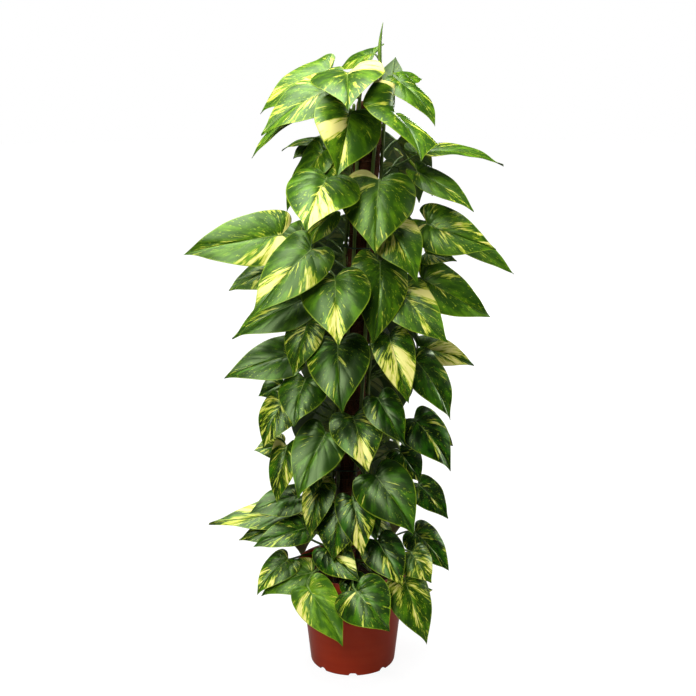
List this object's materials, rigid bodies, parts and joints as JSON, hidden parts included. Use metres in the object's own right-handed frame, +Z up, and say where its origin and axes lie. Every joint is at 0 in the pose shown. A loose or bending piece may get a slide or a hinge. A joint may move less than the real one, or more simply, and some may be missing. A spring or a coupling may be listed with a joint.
{
  "type": "potted pothos plant",
  "caption": "Golden pothos with variegated heart-shaped leaves, trained up a coir pole in a round plastic nursery pot.",
  "frame": {"origin": "centre of the pot's underside, on the surface that the pot stands on", "axes": "+Z up; -Y is the side of the plant that shows in front; +X is to the viewer's right"},
  "size_m": [0.6572, 0.396, 1.3332],
  "materials": {
    "leaf": "waxy semi-gloss leaf, dark green streaked with cream yellow",
    "young_leaf": "rolled young leaf, lime green",
    "stem": "satin green stem, brown where old",
    "tie_wire": "plastic-coated garden wire, dark green",
    "coir": "matted dark brown coconut fibre",
    "stake": "plain sawn wood",
    "soil": "loose dark potting mix with bark",
    "pot": "semi-gloss moulded terracotta-brown polypropylene"
  },
  "bodies": {
    "root": {"coir_sleeve": "coir", "leaf_back_1": "leaf", "leaf_back_10": "leaf", "leaf_back_2": "leaf", "leaf_back_3": "leaf", "leaf_back_4": "leaf", "leaf_back_5": "leaf", "leaf_back_6": "leaf", "leaf_back_7": "leaf", "leaf_back_8": "leaf", "leaf_back_9": "leaf", "leaf_crown_1": "leaf", "leaf_crown_2": "leaf", "leaf_crown_3": "leaf", "leaf_crown_4": "leaf", "leaf_crown_5": "leaf", "leaf_crown_6": "leaf", "leaf_crown_7": "leaf", "leaf_crown_8": "leaf", "leaf_lower_1": "leaf", "leaf_lower_2": "leaf", "leaf_lower_3": "leaf", "leaf_lower_4": "leaf", "leaf_lower_5": "leaf", "leaf_lower_6": "leaf", "leaf_lower_7": "leaf", "leaf_lower_8": "leaf", "leaf_lower_9": "leaf", "leaf_middle_1": "leaf", "leaf_middle_2": "leaf", "leaf_middle_3": "leaf", "leaf_middle_4": "leaf", "leaf_middle_5": "leaf", "leaf_middle_6": "leaf", "leaf_middle_7": "leaf", "leaf_middle_8": "leaf", "leaf_middle_9": "leaf", "leaf_skirt_1": "leaf", "leaf_skirt_2": "leaf", "leaf_skirt_3": "leaf", "leaf_upper_1": "leaf", "leaf_upper_2": "leaf", "leaf_upper_3": "leaf", "leaf_upper_4": "leaf", "leaf_upper_5": "leaf", "leaf_upper_6": "leaf", "leaf_upper_7": "leaf", "leaf_upper_8": "leaf", "new_leaf_spike": "young_leaf", "nursery_pot": "pot", "pole_stake": "stake", "potting_soil": "soil", "tie_1": "tie_wire", "tie_2": "tie_wire", "vine_back_left": "stem", "vine_back_right": "stem", "vine_front_left": "stem", "vine_front_right": "stem", "vine_left": "stem", "vine_right": "stem"}
  },
  "joints": []
}
